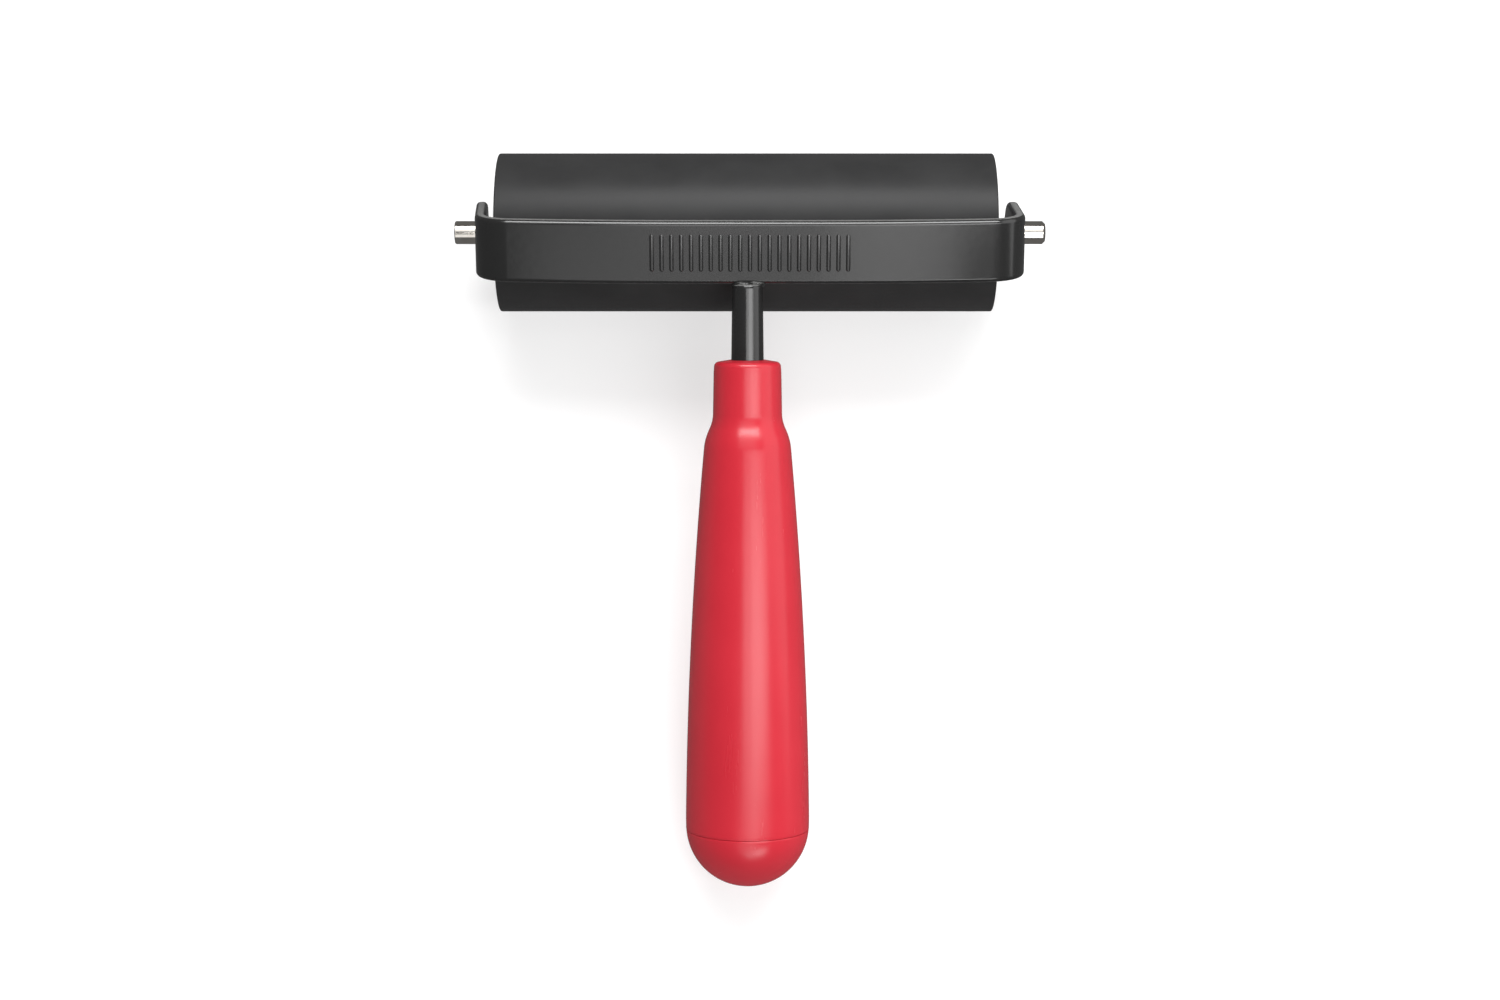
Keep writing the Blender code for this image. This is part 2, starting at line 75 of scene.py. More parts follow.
# Where the pieces stand, read from the frame.
joint = frame["joints"][0]
axle_y, axle_z = joint["pos_m"][1:]
sleeve_low, sleeve_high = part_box("rubber_cover")
roller_half = (sleeve_high.x - sleeve_low.x) / 2
roller_radius = (sleeve_high.z - sleeve_low.z) / 2
roller_x = (sleeve_high.x + sleeve_low.x) / 2
axle_half = (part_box("axle")[1].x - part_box("axle")[0].x) / 2
axle_radius = (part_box("axle")[1].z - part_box("axle")[0].z) / 2
tube_low, tube_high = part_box("core_tube")
tube_radius = (tube_high.z - tube_low.z) / 2

# The roller's sleeve, hubs and bushes, and the axle.
SLEEVE_EDGE = 0.3 * MM
HUB_DEPTH = 12.0 * MM
HUB_RIM = 1.4 * MM
HUB_DISH = 0.9 * MM
HUB_LAND = 1.2 * MM
HUB_BOSS = 6.4 * MM
HUB_ROUNDING = 0.25 * MM
TUBE_WALL = 1.5 * MM
FIT_GAP = 0.1 * MM
BUSH_RADIUS = 4.2 * MM
BUSH_FLANGE = 6.0 * MM
BUSH_FLANGE_THICKNESS = 1.0 * MM
BUSH_STANDS_PROUD = 0.4 * MM
BUSH_SET_BACK = 0.1 * MM
BUSH_CHAMFER = 0.3 * MM
RUNNING_FIT = 0.08 * MM
AXLE_CHAMFER = {-1: 0.2 * MM, 1: 0.55 * MM}

# The strap, as in the CAD model.
STRAP_WIDTH = 12.7 * MM
STRAP_THICKNESS = 2.38 * MM
STRAP_EDGE = 0.95 * MM
STRAP_HALF_SPAN = 55.45 * MM
STRAP_RISE = 22.0 * MM
STRAP_FIRST_STATION = 2.0 * MM
STRAP_FLAT_HALF = 12.0 * MM
STRAP_ARCH_ANGLE = math.radians(6.3)
STRAP_CORNER_MID = 8.0 * MM - STRAP_THICKNESS / 2
ARM_SPLAY = {-1: math.radians(4.3), 1: 0.0}
STRAP_LEAN = math.radians(21.8)
HOLE_CLEARANCE = 0.08 * MM
DRILL_HALF = 70.0 * MM

# The band of plain stamped ribs on the bridge. The profile is (share of the half width, share of
# the height), from the foot that is sunk in the strap to the flat of the top.
RIB_COUNT = 21
RIB_PITCH = 1.95 * MM
RIB_LENGTH = 7.4 * MM
RIB_WIDTH = 0.8 * MM
RIB_HEIGHT = 0.26 * MM
RIB_PROFILE = ((1.25, -0.12), (1.1, 0.0), (0.95, 0.45), (0.7, 0.85), (0.35, 1.0))

# Stem and handle. Stations are distances along the handle's axis from the strap's lower edge.
STEM_START = 0.2 * MM
STEM_FOOT_RADIUS = 2.4 * MM
STEM_CHAMFER_END = 0.7 * MM
STEM_CHAMFER_EASE = (0.25 * MM, 0.12 * MM)
STEM_SHADING_RING = 0.3 * MM
STEM_RADIUS_AT_STRAP = 3.08 * MM
STEM_RADIUS = 3.25 * MM
STEM_END = 62.0 * MM
STEM_END_CHAMFER = 1.0 * MM
STEM_OFFSET = -0.5 * MM
WELD_ON_STEM = 1.2 * MM
WELD_ON_STRAP = 0.75 * MM
WELD_TOP = 1.3 * MM
WELD_SPREAD = {-1: 0.0, 1: 0.7 * MM}
WELD_LUMP = 0.12 * MM
WELD_LUMP_SCALE = 0.6 / MM
HANDLE_START = 15.6 * MM
COLLAR_RADIUS = 6.7 * MM
COLLAR_DRAFT = 0.0175
COLLAR_CROWN = 0.45 * MM
COLLAR_CROWN_SLOPE = 0.2
COLLAR_CORNER = 1.0 * MM
SHOULDER_START = 26.0 * MM
SHOULDER_TURN = 29.1 * MM
SHOULDER_END = 33.0 * MM
BARREL_RADIUS_AT_SHOULDER = 8.71 * MM
BARREL_BULGE = 0.77 * MM
BUTT_RADIUS = 12.5 * MM
BUTT_CENTRE = 109.7 * MM
DOME_CLEARANCE = 0.02 * MM
SEAM = 110.4 * MM
SEAM_GAP = 0.06 * MM
SEAM_CHAMFER = 0.11 * MM
WALL = 2.6 * MM
CAVITY_START = 36.0 * MM
SOCKET_BORE = 3.55 * MM
SOCKET_LIP = 0.3 * MM
SOCKET_LIP_SET_BACK = 0.1 * MM
SOCKET_RADIUS = 5.2 * MM
SOCKET_END = 68.0 * MM
SPIGOT_BORE = 10.3 * MM
SPIGOT_DEPTH = 7.0 * MM
SPIGOT_END_GAP = 0.4 * MM
SPIGOT_WALL = 2.0 * MM
CAP_WALL = 2.6 * MM
PARTING_RIDGE = 0.045 * MM
PARTING_END_GAP = 1.0 * MM

# The camera looks down from over the handle.
CAMERA_HEIGHT = 548.6 * MM
CAMERA_BEHIND_AXLE = 111.1 * MM
CAMERA_PITCH = math.radians(5.95)
CAMERA_LENS = 62.76
CAMERA_SENSOR = 36.0
CAMERA_CLIP_START = 0.01

# The lamps are panels in one level plane over the object. Each spans two ranges of angles from
# straight up, (towards +X, towards +Y) in degrees, and has a brightness: white paper is about 1.
LAMP_HEIGHT = 1.0
LAMPS = {
    "rear_softbox": ((-24, 35), (28, 53), 9.8),
    "rear_apron": ((-22, 22), (3, 28), 1.1),
    "front_left_softbox": ((-21, 4), (-58, -26), 0.88),
    "front_right_softbox": ((4, 19), (-60, -25), 1.65),
    "middle_left_softbox": ((-9, 9), (-24, -5), 3.0),
    "middle_softbox": ((9, 34), (-24, -5), 5.2),
    "middle_right_softbox": ((34, 43), (-24, -5), 3.4),
    "spot": ((-4, 46), (-62, -50), 5.5),
}
SIDE_WALL_DISTANCE = 1.2
SIDE_WALL_HEIGHTS = (0.05, 1.3)
SIDE_WALL_REACH = (-0.27, 1.6)
SIDE_WALL_BRIGHTNESS = 1.2
ROOM_BRIGHTNESS = 0.13
FLOOR_GLOW = 0.56
FLOOR_HALF = 4.0
FLOOR_CELLS = 8
FLOOR_DROP = 0.05 * MM

strap_edge_y = -STRAP_RISE * math.sin(STRAP_LEAN) - STRAP_WIDTH / 2 * math.cos(STRAP_LEAN)
strap_edge_z = axle_z + STRAP_RISE * math.cos(STRAP_LEAN) - STRAP_WIDTH / 2 * math.sin(STRAP_LEAN)
handle_tilt = math.asin((strap_edge_z - BUTT_RADIUS) / BUTT_CENTRE)

along_x = Matrix.Rotation(math.pi / 2, 4, "Y")
ROLLER_PLACE = Matrix.Translation((roller_x, axle_y, axle_z)) @ along_x
AXLE_PLACE = Matrix.Translation((0.0, axle_y, axle_z)) @ along_x
STRAP_PLACE = Matrix.Translation((0.0, axle_y, axle_z)) @ Matrix.Rotation(STRAP_LEAN, 4, "X")
HANDLE_PLACE = Matrix.Translation(
    (STEM_OFFSET, axle_y + strap_edge_y, strap_edge_z)
) @ Matrix.Rotation(math.pi / 2 + handle_tilt, 4, "X")


# Shapes


def arc(centre, radius, start, end, steps):
    """Points (along, out) on an arc, angles in degrees from the direction along."""
    points = []
    for step in range(steps + 1):
        angle = math.radians(start + (end - start) * step / steps)
        points.append((centre[0] + radius * math.cos(angle), centre[1] + radius * math.sin(angle)))
    return points


def between(start, end, steps):
    """Evenly spaced values from start to end, both included."""
    return [start + (end - start) * step / steps for step in range(steps + 1)]


def turned(outline, facets, ridge=None):
    """A turned bmesh round Z from an outline of (along, out). ridge adds to the radius by facet."""
    shape = bmesh.new()
    rings = []
    for along, out in outline:
        if out < 1e-9:
            rings.append([shape.verts.new((0.0, 0.0, along))])
            continue
        ring = []
        for index in range(facets):
            angle = math.tau * index / facets
            radius = out + (ridge(along, out, index) if ridge else 0.0)
            ring.append(shape.verts.new((radius * math.cos(angle), radius * math.sin(angle), along)))
        rings.append(ring)
    pairs = list(zip(rings, rings[1:]))
    if len(rings[0]) > 1:
        pairs.append((rings[-1], rings[0]))
    for first, second in pairs:
        for index in range(facets):
            following = (index + 1) % facets
            corners = [first[index % len(first)], first[following % len(first)]]
            corners += [second[following % len(second)], second[index % len(second)]]
            shape.faces.new(list(dict.fromkeys(corners)))
    return shape


def add_piece(name, shape, material, place, body, nodes, sharp=40):
    """The bmesh as a piece. It is put in its place in the mesh, as the CAD nodes are."""
    shape.transform(place)
    bmesh.ops.recalc_face_normals(shape, faces=shape.faces)
    mesh = bpy.data.meshes.new(name)
    shape.to_mesh(mesh)
    shape.free()
    mesh.shade_smooth()
    mesh.set_sharp_from_angle(angle=math.radians(sharp))
    mesh.materials.append(material)
    piece = bpy.data.objects.new(name, mesh)
    bpy.context.collection.objects.link(piece)
    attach(piece, body)
    if nodes:
        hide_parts(*nodes)
    return piece


# Materials


class Shader:
    """A node tree with one Principled BSDF, and short ways to add to it."""

    MIX_INPUTS = (6, 7)
    MIX_OUTPUT = 2

    def __init__(self, name, roughness, metallic=0.0, tilt=0.0, specular=0.5):
        self.material = bpy.data.materials.new(name)
        self.material.use_nodes = True
        self.tree = self.material.node_tree
        self.surface = self.tree.nodes["Principled BSDF"]
        self.surface.inputs["Metallic"].default_value = metallic
        self.surface.inputs["Roughness"].default_value = roughness
        self.surface.inputs["Specular IOR Level"].default_value = specular
        self.coordinates = self.add("ShaderNodeTexCoord")
        self.place = self.coordinates.outputs["Object"]
        if tilt:
            turned_back = self.add("ShaderNodeMapping", Vector=self.place, Rotation=(-tilt, 0.0, 0.0))
            self.place = turned_back.outputs["Vector"]

    def add(self, kind, settings=None, **inputs):
        node = self.tree.nodes.new(kind)
        for name, value in (settings or {}).items():
            setattr(node, name, value)
        for name, value in inputs.items():
            socket = node.inputs[name.replace("_", " ")]
            if isinstance(value, bpy.types.NodeSocket):
                self.tree.links.new(value, socket)
            else:
                socket.default_value = value
        return node

    def stretched(self, scale):
        """Object coordinates scaled by (x, y, z)."""
        return self.add("ShaderNodeMapping", Vector=self.place, Scale=scale).outputs["Vector"]

    def noise(self, scale, detail=3.0, roughness=0.55, vector=None):
        made = self.add(
            "ShaderNodeTexNoise",
            Vector=vector or self.place,
            Scale=scale,
            Detail=detail,
            Roughness=roughness,
        )
        return made.outputs["Fac"]

    def remap(self, value, low, high, new_low=0.0, new_high=1.0):
        """The range low to high stretched or squeezed to new_low to new_high, and cut off there."""
        made = self.add("ShaderNodeMapRange", Value=value)
        made.inputs["From Min"].default_value = low
        made.inputs["From Max"].default_value = high
        made.inputs["To Min"].default_value = new_low
        made.inputs["To Max"].default_value = new_high
        return made.outputs["Result"]

    def mix(self, factor, first, second):
        """A blend of two colours. A Mix node's colour sockets are found by number, not by name."""
        made = self.add("ShaderNodeMix", {"data_type": "RGBA"})
        self.tree.links.new(factor, made.inputs["Factor"])
        for index, colour in zip(self.MIX_INPUTS, (first, second)):
            if isinstance(colour, bpy.types.NodeSocket):
                self.tree.links.new(colour, made.inputs[index])
            else:
                made.inputs[index].default_value = (*colour, 1.0)
        return made.outputs[self.MIX_OUTPUT]

    def facing(self, way):
        """How squarely the surface faces the direction way, or away from it, from 0 to 1."""
        made = self.add("ShaderNodeVectorMath", {"operation": "DOT_PRODUCT"})
        self.tree.links.new(self.coordinates.outputs["Normal"], made.inputs[0])
        made.inputs[1].default_value = way
        return self.combine(made.outputs["Value"], 0.0, "ABSOLUTE")

    def combine(self, first, second, operation="ADD"):
        made = self.add("ShaderNodeMath", {"operation": operation})
        for index, value in enumerate((first, second)):
            if isinstance(value, bpy.types.NodeSocket):
                self.tree.links.new(value, made.inputs[index])
            else:
                made.inputs[index].default_value = value
        return made.outputs[0]

    def colour(self, value):
        self.tree.links.new(value, self.surface.inputs["Base Color"])

    def roughness(self, value):
        self.tree.links.new(value, self.surface.inputs["Roughness"])

    def bump(self, *layers):
        """Layers of (height, distance in metres), one on the other."""
        normal = None
        for height, distance in layers:
            made = self.add("ShaderNodeBump", Height=height, Distance=distance, Strength=1.0)
            if normal:
                self.tree.links.new(normal, made.inputs["Normal"])
            normal = made.outputs["Normal"]
        self.tree.links.new(normal, self.surface.inputs["Normal"])


def rubber_material():
    """Soft black rubber, ground to size: fine grinding rings, faint bloom and dust."""
    shader = Shader("black_rubber", 0.5, specular=0.15)
    cloud = shader.noise(90.0, 4.0)
    specks = shader.noise(5200.0, 2.0, 0.6)
    rings = shader.noise(1.0, 4.0, 0.6, shader.stretched((9000.0, 60.0, 60.0)))
    bloom = shader.remap(cloud, 0.35, 0.7)
    base = shader.mix(bloom, (0.024, 0.024, 0.0243), (0.029, 0.029, 0.0293))
    dusty = shader.mix(shader.remap(specks, 0.7, 0.82, 0.0, 0.25), base, (0.07, 0.07, 0.07))
    shader.colour(dusty)
    shader.roughness(shader.remap(shader.combine(cloud, rings), 0.6, 1.4, 0.35, 0.45))
    shader.bump((rings, 0.006 * MM), (specks, 0.008 * MM))
    return shader.material


def enamel_material():
    """Black enamel on steel: a soft orange peel and a fine grain. The bar's sheared edges are drier."""
    shader = Shader("black_enamel", 0.25, specular=0.7)
    peel = shader.noise(600.0, 2.0, 0.4)
    grain = shader.noise(7000.0, 2.0, 0.6)
    coarse = shader.noise(2600.0, 3.0, 0.65)
    cloud = shader.noise(60.0, 2.0)
    edge_way = (0.0, math.cos(STRAP_LEAN), math.sin(STRAP_LEAN))
    edge = shader.remap(shader.facing(edge_way), 0.86, 0.97)
    face_tone = shader.mix(cloud, (0.0125, 0.0125, 0.0123), (0.015, 0.015, 0.015))
    dry_patches = shader.remap(coarse, 0.35, 0.65)
    edge_tone = shader.mix(dry_patches, (0.09, 0.09, 0.088), (0.19, 0.19, 0.187))
    shader.colour(shader.mix(edge, face_tone, edge_tone))
    face_gloss = shader.remap(shader.combine(cloud, grain), 0.6, 1.4, 0.14, 0.21)
    shader.roughness(shader.combine(face_gloss, shader.combine(edge, 0.3, "MULTIPLY")))
    rough_edge = shader.combine(edge, coarse, "MULTIPLY")
    shader.bump((peel, 0.012 * MM), (grain, 0.002 * MM), (rough_edge, 0.05 * MM))
    return shader.material


def red_plastic_material():
    """Injection-moulded red plastic: a satin gloss, slight flow clouds and hairline scuffs."""
    shader = Shader("red_plastic", 0.32, tilt=handle_tilt)
    cloud = shader.noise(55.0, 3.0)
    flow = shader.noise(1.0, 3.0, 0.5, shader.stretched((260.0, 30.0, 260.0)))
    grain = shader.noise(4200.0, 2.0, 0.5)
    scuffs = shader.noise(1.0, 2.0, 0.7, shader.stretched((2600.0, 150.0, 2600.0)))
    patches = shader.remap(cloud, 0.3, 0.7)
    shader.colour(shader.mix(patches, (0.49, 0.0185, 0.032), (0.52, 0.0215, 0.036)))
    shader.roughness(shader.remap(shader.combine(flow, scuffs), 0.6, 1.45, 0.24, 0.28))
    shader.bump((flow, 0.003 * MM), (grain, 0.001 * MM))
    return shader.material


def nickel_material():
    """Bright nickel plate on a drawn rod, with fine lines along it and light handling marks."""
    shader = Shader("nickel_plate", 0.14, 1.0)
    lines = shader.noise(1.0, 3.0, 0.6, shader.stretched((60.0, 5200.0, 5200.0)))
    cloud = shader.noise(400.0, 3.0)
    patches = shader.remap(cloud, 0.3, 0.7)
    shader.colour(shader.mix(patches, (0.78, 0.73, 0.66), (0.86, 0.83, 0.78)))
    shader.roughness(shader.remap(shader.combine(lines, cloud), 0.6, 1.4, 0.05, 0.13))
    shader.bump((lines, 0.002 * MM))
    return shader.material


def metal_material(name, dark, light, roughness_low, roughness_high, scale):
    """Plain metal: cloudy between two tones, with fine pits."""
    shader = Shader(name, roughness_low, 1.0)
    cloud = shader.noise(scale, 4.0)
    pits = shader.noise(scale * 9, 2.0)
    shader.colour(shader.mix(shader.remap(cloud, 0.3, 0.7), dark, light))
    shader.roughness(shader.remap(shader.combine(cloud, pits), 0.6, 1.4, roughness_low, roughness_high))
    shader.bump((pits, 0.01 * MM))
    return shader.material


def plastic_material(name, dark, light, roughness_low, roughness_high):
    """Plain moulded plastic: cloudy between two tones, with a fine grain."""
    shader = Shader(name, roughness_low)
    cloud = shader.noise(300.0, 4.0)
    grain = shader.noise(3500.0, 2.0)
    shader.colour(shader.mix(shader.remap(cloud, 0.3, 0.7), dark, light))
    shader.roughness(shader.remap(shader.combine(cloud, grain), 0.6, 1.4, roughness_low, roughness_high))
    shader.bump((grain, 0.012 * MM))
    return shader.material


# Roller


def make_sleeve(material):
    """The rubber sleeve, cut square at its ends with the edges just broken."""
    bore = tube_radius + FIT_GAP
    corner_along = roller_half - SLEEVE_EDGE
    corner_out = roller_radius - SLEEVE_EDGE
    outline = [(-roller_half, bore)]
    outline += arc((-corner_along, corner_out), SLEEVE_EDGE, 180, 90, ROUNDING_STEPS)
    outline += arc((corner_along, corner_out), SLEEVE_EDGE, 90, 0, ROUNDING_STEPS)
    outline += [(roller_half, bore)]
    shape = turned(outline, SLEEVE_FACETS)
    add_piece("rubber_sleeve", shape, material, ROLLER_PLACE, "roller", ["rubber_cover"])


def make_hub(side, material):
    """A plug in the tube's end: a rim, a dished face and a boss round the bush, with soft edges."""
    face = roller_half
    inner_end = face - HUB_DEPTH
    rim = tube_radius
    plug = tube_radius - TUBE_WALL - FIT_GAP
    bore = BUSH_RADIUS + FIT_GAP
    seat = BUSH_FLANGE + FIT_GAP
    seat_floor = inner_end + BUSH_FLANGE_THICKNESS + FIT_GAP - BUSH_STANDS_PROUD
    rounding = HUB_ROUNDING
    outline = [(inner_end, seat), (inner_end, plug), (face - HUB_RIM, plug), (face - HUB_RIM, rim)]
    outline += arc((face - rounding, rim - rounding), rounding, 90, 0, ROUNDING_STEPS + 1)
    outline += arc((face - rounding, rim - HUB_LAND), rounding, 0, -60, ROUNDING_STEPS)
    outline += [(face - HUB_DISH, rim - HUB_LAND - HUB_DISH), (face - HUB_DISH, HUB_BOSS + HUB_DISH)]
    outline += arc((face - rounding, HUB_BOSS), rounding, 60, 0, ROUNDING_STEPS)
    outline += [(face, bore + rounding / 2), (face - rounding / 2, bore)]
    outline += [(seat_floor, bore), (seat_floor, seat)]
    name = SIDE_NAMES[side]
    shape = turned([(side * along, out) for along, out in outline], HUB_FACETS)
    add_piece(
        f"end_hub_{name}", shape, material, ROLLER_PLACE, "roller", [f"core_hub_{name}"]
    )


def make_bush(side, material):
    """A sintered bush with chamfered rims. Its flange is inside, against the thrust washer."""
    inner_end = roller_half - HUB_DEPTH - BUSH_STANDS_PROUD
    flange_end = inner_end + BUSH_FLANGE_THICKNESS
    outer_end = roller_half - BUSH_SET_BACK
    bore = axle_radius + RUNNING_FIT
    rim = outer_end - BUSH_CHAMFER
    outline = [(inner_end, bore), (inner_end, BUSH_FLANGE), (flange_end, BUSH_FLANGE)]
    outline += [(flange_end, BUSH_RADIUS), (rim, BUSH_RADIUS)]
    outline += [(outer_end, BUSH_RADIUS - BUSH_CHAMFER), (outer_end, bore + BUSH_CHAMFER)]
    outline += [(rim, bore)]
    name = SIDE_NAMES[side]
    shape = turned([(side * along, out) for along, out in outline], ROD_FACETS)
    add_piece(
        f"end_bush_{name}", shape, material, ROLLER_PLACE, "roller", [f"bearing_bush_{name}"]
    )


def make_axle(material):
    """The plated rod: its left end is cut nearly square, and its right end has a wider chamfer."""
    outline = [(-axle_half, 0.0), (-axle_half, axle_radius - AXLE_CHAMFER[-1])]
    outline += [(-axle_half + AXLE_CHAMFER[-1], axle_radius)]
    outline += [(axle_half - AXLE_CHAMFER[1], axle_radius)]
    outline += [(axle_half, axle_radius - AXLE_CHAMFER[1]), (axle_half, 0.0)]
    shape = turned(outline, ROD_FACETS)
    add_piece("axle_rod", shape, material, AXLE_PLACE, "frame", ["axle"], sharp=30)


# Strap


def arch_end():
    """How far from the middle the arched part ends and the corner bend begins."""
    side = STRAP_HALF_SPAN - STRAP_THICKNESS / 2
    return side - STRAP_CORNER_MID * (1 - math.sin(STRAP_ARCH_ANGLE))


def arch_radius():
    """The radius of the bridge's two arched parts, on the middle of the bar."""
    return (arch_end() - STRAP_FLAT_HALF) / math.sin(STRAP_ARCH_ANGLE)


def half_path(side):
    """(point, outward normal) along the middle of the strap's thickness, in the plane of the U."""
    flat = between(STRAP_FIRST_STATION, STRAP_FLAT_HALF, FLAT_STEPS)
    path = [((x, STRAP_RISE), 0.0) for x in flat]
    for step in range(1, ARCH_STEPS + 1):
        angle = STRAP_ARCH_ANGLE * step / ARCH_STEPS
        x = STRAP_FLAT_HALF + arch_radius() * math.sin(angle)
        path.append(((x, STRAP_RISE - arch_radius() * (1 - math.cos(angle))), angle))
    last = math.pi / 2 - ARM_SPLAY[side]
    (x, z), angle = path[-1]
    centre = (x - STRAP_CORNER_MID * math.sin(angle), z - STRAP_CORNER_MID * math.cos(angle))
    for step in range(1, BEND_STEPS + 1):
        angle = STRAP_ARCH_ANGLE + (last - STRAP_ARCH_ANGLE) * step / BEND_STEPS
        x = centre[0] + STRAP_CORNER_MID * math.sin(angle)
        path.append(((x, centre[1] + STRAP_CORNER_MID * math.cos(angle)), angle))
    stations = []
    for (x, z), angle in path:
        normal = Vector((side * math.sin(angle), 0.0, math.cos(angle)))
        stations.append((Vector((side * x, 0.0, z)), normal))
    return stations


def section_at(shape, point, normal):
    """The bar's four corners at a station of its path."""
    across = Vector((0.0, STRAP_WIDTH / 2, 0.0))
    half = normal * STRAP_THICKNESS / 2
    places = [point - half - across, point - half + across]
    places += [point + half + across, point + half - across]
    return [shape.verts.new(place) for place in places]


def add_arm_tip(shape, section, point, normal, side):
    """The straight arm below a corner bend, with a half-round end about the axle."""
    down = Vector((side * normal.z, 0.0, -abs(normal.x)))
    length = point.z / -down.z
    rims = []
    for surface in (-0.5, 0.5):
        centre = point + down * length + normal * STRAP_THICKNESS * surface
        rim = []
        for step in range(TIP_STEPS + 1):
            angle = math.pi * step / TIP_STEPS
            across = Vector((0.0, -math.cos(angle), 0.0))
            rim.append(shape.verts.new(centre + (across + down * math.sin(angle)) * STRAP_WIDTH / 2))
        rims.append(rim)
    inner, outer = rims
    shape.faces.new([section[1], section[0]] + inner)
    shape.faces.new([section[2], section[3]] + outer)
    chain_inner = [section[0]] + inner + [section[1]]
    chain_outer = [section[3]] + outer + [section[2]]
    for a, b, c, d in zip(chain_inner, chain_inner[1:], chain_outer[1:], chain_outer):
        shape.faces.new((a, b, c, d))


def make_strap(material):
    """The bar swept along both halves of the U, with half-round tips and rounded long edges."""
    shape = bmesh.new()
    left = half_path(-1)
    right = half_path(1)
    sections = [section_at(shape, point, normal) for point, normal in left[::-1] + right]
    for before, after in zip(sections, sections[1:]):
        for index in range(4):
            following = (index + 1) % 4
            shape.faces.new((before[index], before[following], after[following], after[index]))
    add_arm_tip(shape, sections[0], *left[-1], -1)
    add_arm_tip(shape, sections[-1], *right[-1], 1)
    bmesh.ops.recalc_face_normals(shape, faces=shape.faces)
    long_edges = [edge for edge in shape.edges if edge.calc_face_angle() > math.radians(60)]
    bmesh.ops.bevel(
        shape,
        geom=long_edges,
        offset=STRAP_EDGE,
        segments=BEVEL_SEGMENTS,
        profile=0.5,
        affect="EDGES",
    )
    strap = add_piece("bent_strap", shape, material, STRAP_PLACE, "frame", ["frame_strap"])
    drill_holes(strap)
    weighted = strap.modifiers.new("Even_normals", "WEIGHTED_NORMAL")
    weighted.keep_sharp = True


def drill_holes(strap):
    """Both axle holes, cut by one long drill. The cut is applied, and the drill is removed."""
    hole = axle_radius + HOLE_CLEARANCE
    outline = [(-DRILL_HALF, 0.0), (-DRILL_HALF, hole), (DRILL_HALF, hole), (DRILL_HALF, 0.0)]
    drill_mesh = bpy.data.meshes.new("drill")
    shape = turned(outline, DRILL_FACETS)
    shape.transform(AXLE_PLACE)
    bmesh.ops.recalc_face_normals(shape, faces=shape.faces)
    shape.to_mesh(drill_mesh)
    shape.free()
    drill = bpy.data.objects.new("drill", drill_mesh)
    bpy.context.collection.objects.link(drill)
    cut = strap.modifiers.new("Axle_holes", "BOOLEAN")
    cut.object = drill
    cut.operation = "DIFFERENCE"
    cut.solver = "EXACT"
    bpy.context.view_layer.update()
    evaluated = strap.evaluated_get(bpy.context.evaluated_depsgraph_get())
    drilled = bpy.data.meshes.new_from_object(evaluated)
    strap.modifiers.remove(cut)
    strap.data = drilled
    bpy.data.objects.remove(drill)


def make_rib_band(material):
    """Plain upright ribs, raised from the bridge's outer face."""
    shape = bmesh.new()
    for index in range(RIB_COUNT):
        x = (index - (RIB_COUNT - 1) / 2) * RIB_PITCH
        past = max(0.0, abs(x) - STRAP_FLAT_HALF)
        surface = STRAP_RISE + STRAP_THICKNESS / 2 - past * past / (2 * arch_radius())
        add_rib(shape, x, surface)
    add_piece("stamped_ribs", shape, material, STRAP_PLACE, "frame", [], sharp=60)


def add_rib(shape, x, surface):
    """One rib with round ends and a domed top. Its foot is sunk in the strap."""
    rings = []
    for spread, rise in RIB_PROFILE:
        ring = []
        radius = RIB_WIDTH / 2 * spread
        z = surface + rise * RIB_HEIGHT
        for end in (1, -1):
            for step in range(RIB_END_STEPS + 1):
                angle = math.pi * step / RIB_END_STEPS + (0 if end > 0 else math.pi)
                y = end * (RIB_LENGTH - RIB_WIDTH) / 2 + radius * math.sin(angle)
                ring.append(shape.verts.new((x + radius * math.cos(angle), y, z)))
        rings.append(ring)
    for low, high in zip(rings, rings[1:]):
        for index in range(len(low)):
            following = (index + 1) % len(low)
            shape.faces.new((low[index], low[following], high[following], high[index]))
    shape.faces.new(rings[-1])
    shape.faces.new(rings[0][::-1])


# Stem


def make_stem(material):
    """The rod, with a chamfered foot inside the weld. A ring of vertices just past the chamfer keeps
    the smooth shading of the long straight part apart from it."""
    ease_along, ease_out = STEM_CHAMFER_EASE
    outline = [
        (STEM_START, 0.0),
        (STEM_START, STEM_FOOT_RADIUS),
        (STEM_CHAMFER_END - ease_along, STEM_RADIUS_AT_STRAP - ease_out),
        (STEM_CHAMFER_END, STEM_RADIUS_AT_STRAP),
        (STEM_CHAMFER_END + STEM_SHADING_RING, STEM_RADIUS_AT_STRAP),
        (HANDLE_START, STEM_RADIUS),
        (STEM_END - STEM_END_CHAMFER, STEM_RADIUS),
        (STEM_END, STEM_RADIUS - STEM_END_CHAMFER),
        (STEM_END, 0.0),
    ]
    shape = turned(outline, ROD_FACETS)
    add_piece("stem_rod", shape, material, HANDLE_PLACE, "frame", ["stem"])


def weld_radius(along, angle):
    """A low mound at the stem's chamfered foot that ramps down onto the strap's face. At the sides
    it is a hollow fillet along the strap's lower edge, which reaches further to the right."""
    sideways = math.cos(angle) ** 2
    spread = WELD_SPREAD[1 if math.cos(angle) > 0 else -1]
    fade = (1 - max(along, 0.0) / WELD_ON_STEM) ** 2
    out = WELD_TOP + sideways * (STEM_RADIUS_AT_STRAP - WELD_TOP + spread * fade)
    return out * min(1.0, 1 + along / WELD_ON_STRAP) ** 0.5


